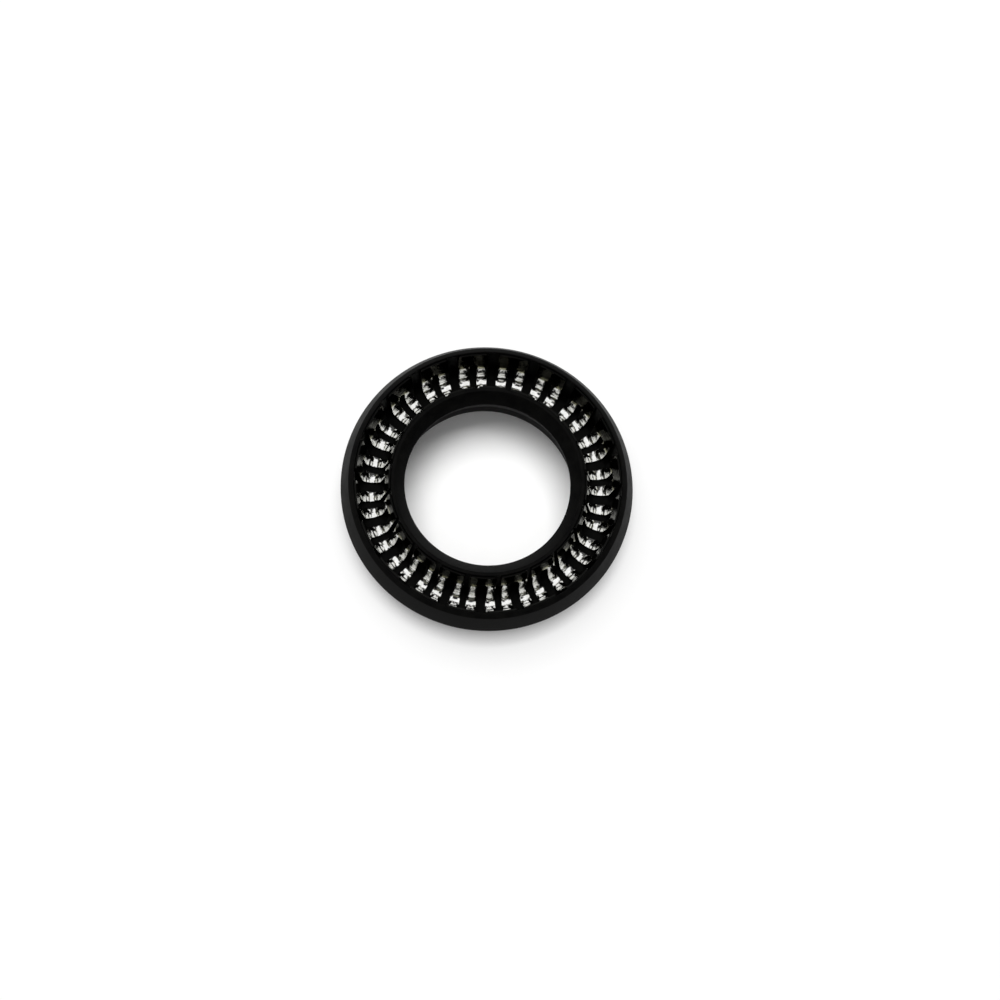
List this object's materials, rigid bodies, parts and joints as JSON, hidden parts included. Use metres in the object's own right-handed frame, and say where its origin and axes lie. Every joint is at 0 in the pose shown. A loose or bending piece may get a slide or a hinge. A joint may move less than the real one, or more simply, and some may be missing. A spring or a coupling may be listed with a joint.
{
  "type": "spring-energized seal",
  "caption": "Black U-cup lip seal ring with flared inner and outer lips, energized by a bright slotted V-section finger spring resting in its groove.",
  "frame": {"origin": "centre of the heel's bottom face, on the seal's axis", "axes": "+Z along the seal's axis from the heel to the lip tips; +X through the middle of a slot that is closed at the outer tips"},
  "size_m": [0.0132, 0.0132, 0.003],
  "materials": {
    "filled_ptfe": "turned, satin",
    "spring_strip": "bright rolled strip"
  },
  "bodies": {
    "root": {"seal_jacket": "filled_ptfe", "finger_spring": "spring_strip"}
  },
  "joints": []
}
